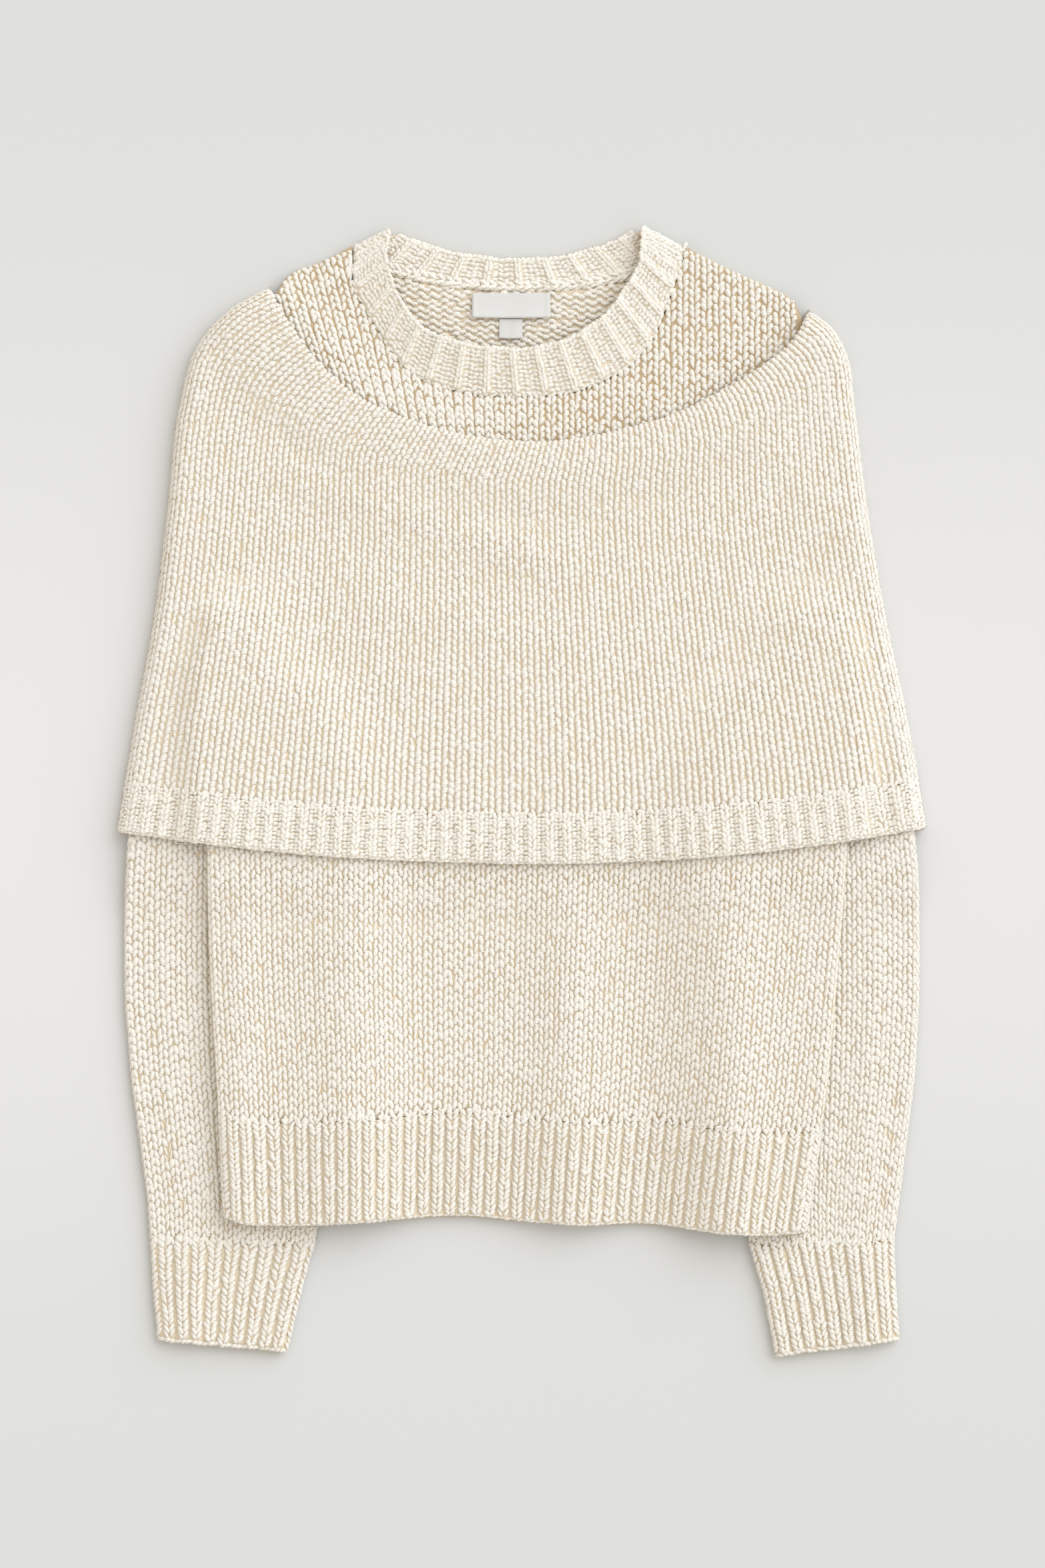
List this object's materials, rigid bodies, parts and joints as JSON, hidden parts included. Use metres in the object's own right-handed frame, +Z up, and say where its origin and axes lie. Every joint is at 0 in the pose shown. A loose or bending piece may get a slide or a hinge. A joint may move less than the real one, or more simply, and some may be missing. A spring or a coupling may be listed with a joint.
{
  "type": "sweater",
  "caption": "Thick knit crew-neck sweater laid flat, with a wide shoulder cape over it, long sleeves beside the body and ribbed collar, cuffs and hems.",
  "frame": {"origin": "centre of the bounding box, at the table it lies on", "axes": "+Y from the hems to the neck, +Z up from the table, +X across to the viewer's right seen from above"},
  "size_m": [0.5234, 0.7309, 0.0273],
  "materials": {
    "knit": "matt thick slub cotton knit, cream",
    "rib": "matt ribbed slub cotton knit, cream",
    "ribbon": "white satin ribbon"
  },
  "bodies": {
    "root": {"back": "knit", "back_hem": "rib", "cape_back": "knit", "cape_back_hem": "rib", "cape_front": "knit", "cape_front_hem": "rib", "collar": "rib", "cuff_left": "rib", "cuff_right": "rib", "front": "knit", "front_hem": "rib", "neck_label": "ribbon", "size_tab": "ribbon", "sleeve_left": "knit", "sleeve_right": "knit"}
  },
  "joints": []
}
